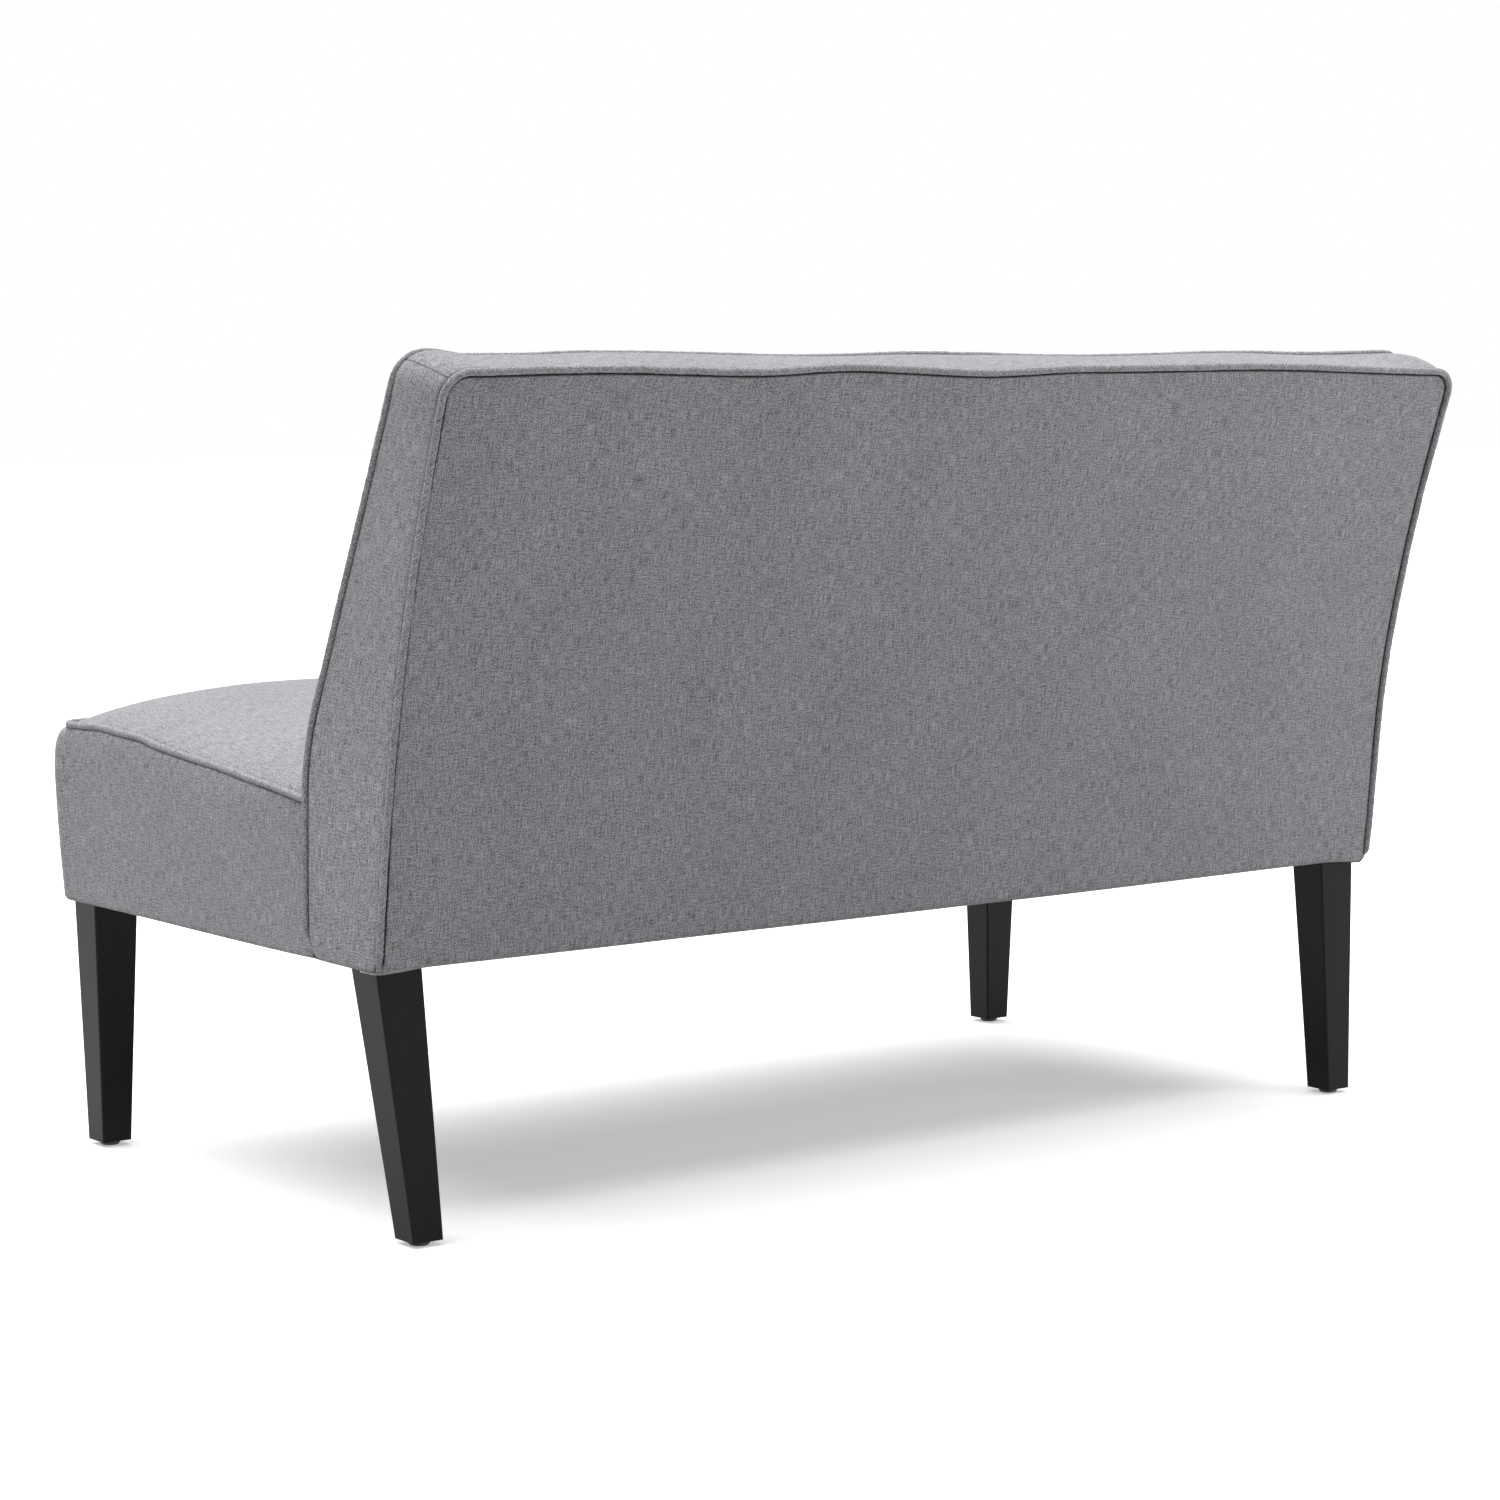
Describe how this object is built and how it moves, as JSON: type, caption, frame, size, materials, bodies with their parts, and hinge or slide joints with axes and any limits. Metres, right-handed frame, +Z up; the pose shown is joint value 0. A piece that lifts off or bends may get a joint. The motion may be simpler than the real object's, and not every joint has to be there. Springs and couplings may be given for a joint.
{
  "type": "armless loveseat",
  "caption": "Armless loveseat with a crowned seat, a raked and tufted back, piped grey fabric covers over a wooden frame, and square tapered black legs.",
  "frame": {"origin": "on the floor, under the middle of the loveseat's bounding box", "axes": "+Z up, -Y towards the front where a sitter's feet are, +X towards the sitter's left"},
  "size_m": [1.3, 0.7538, 0.82],
  "materials": {
    "cover_fabric": "matte",
    "welt_fabric": "matte",
    "leg_wood": "satin",
    "glide_plastic": "matte",
    "frame_wood": "matte",
    "foam": "matte",
    "webbing": "matte",
    "lining_cloth": "matte",
    "liner_board": "matte",
    "steel": "satin"
  },
  "bodies": {
    "root": {"back_centre_post": "frame_wood", "back_cover_tail": "lining_cloth", "back_foam": "foam", "back_front_cover": "cover_fabric", "back_front_welt": "welt_fabric", "back_joining_rail": "frame_wood", "back_liner_board": "liner_board", "back_lumbar_rail": "frame_wood", "back_rear_rail": "frame_wood", "back_rear_welt": "welt_fabric", "back_top_border": "cover_fabric", "back_top_rail": "frame_wood", "back_webbing_straps": "webbing", "dust_cover": "lining_cloth", "frame_dowels": "frame_wood", "frame_screws": "steel", "front_rail_padding": "foam", "glide_nails": "steel", "joining_bolts": "steel", "joining_nuts": "steel", "joining_washers": "steel", "left_back_post": "frame_wood", "left_back_side_border": "cover_fabric", "left_front_corner_block": "frame_wood", "left_front_leg": "leg_wood", "left_rear_corner_block": "frame_wood", "left_rear_leg": "leg_wood", "left_seat_rail": "frame_wood", "leg_bolts": "steel", "leg_glides": "glide_plastic", "leg_inserts": "steel", "leg_washers": "steel", "outside_back_panel": "cover_fabric", "right_back_post": "frame_wood", "right_back_side_border": "cover_fabric", "right_front_corner_block": "frame_wood", "right_front_leg": "leg_wood", "right_rear_corner_block": "frame_wood", "right_rear_leg": "leg_wood", "right_seat_rail": "frame_wood", "seat_border": "cover_fabric", "seat_centre_stretcher": "frame_wood", "seat_deck_cloth": "lining_cloth", "seat_foam": "foam", "seat_front_rail": "frame_wood", "seat_rear_rail": "frame_wood", "seat_top_cover": "cover_fabric", "seat_webbing_straps": "webbing", "seat_welt": "welt_fabric", "tuft_buttons": "cover_fabric", "tuft_twines": "webbing"}
  },
  "joints": []
}
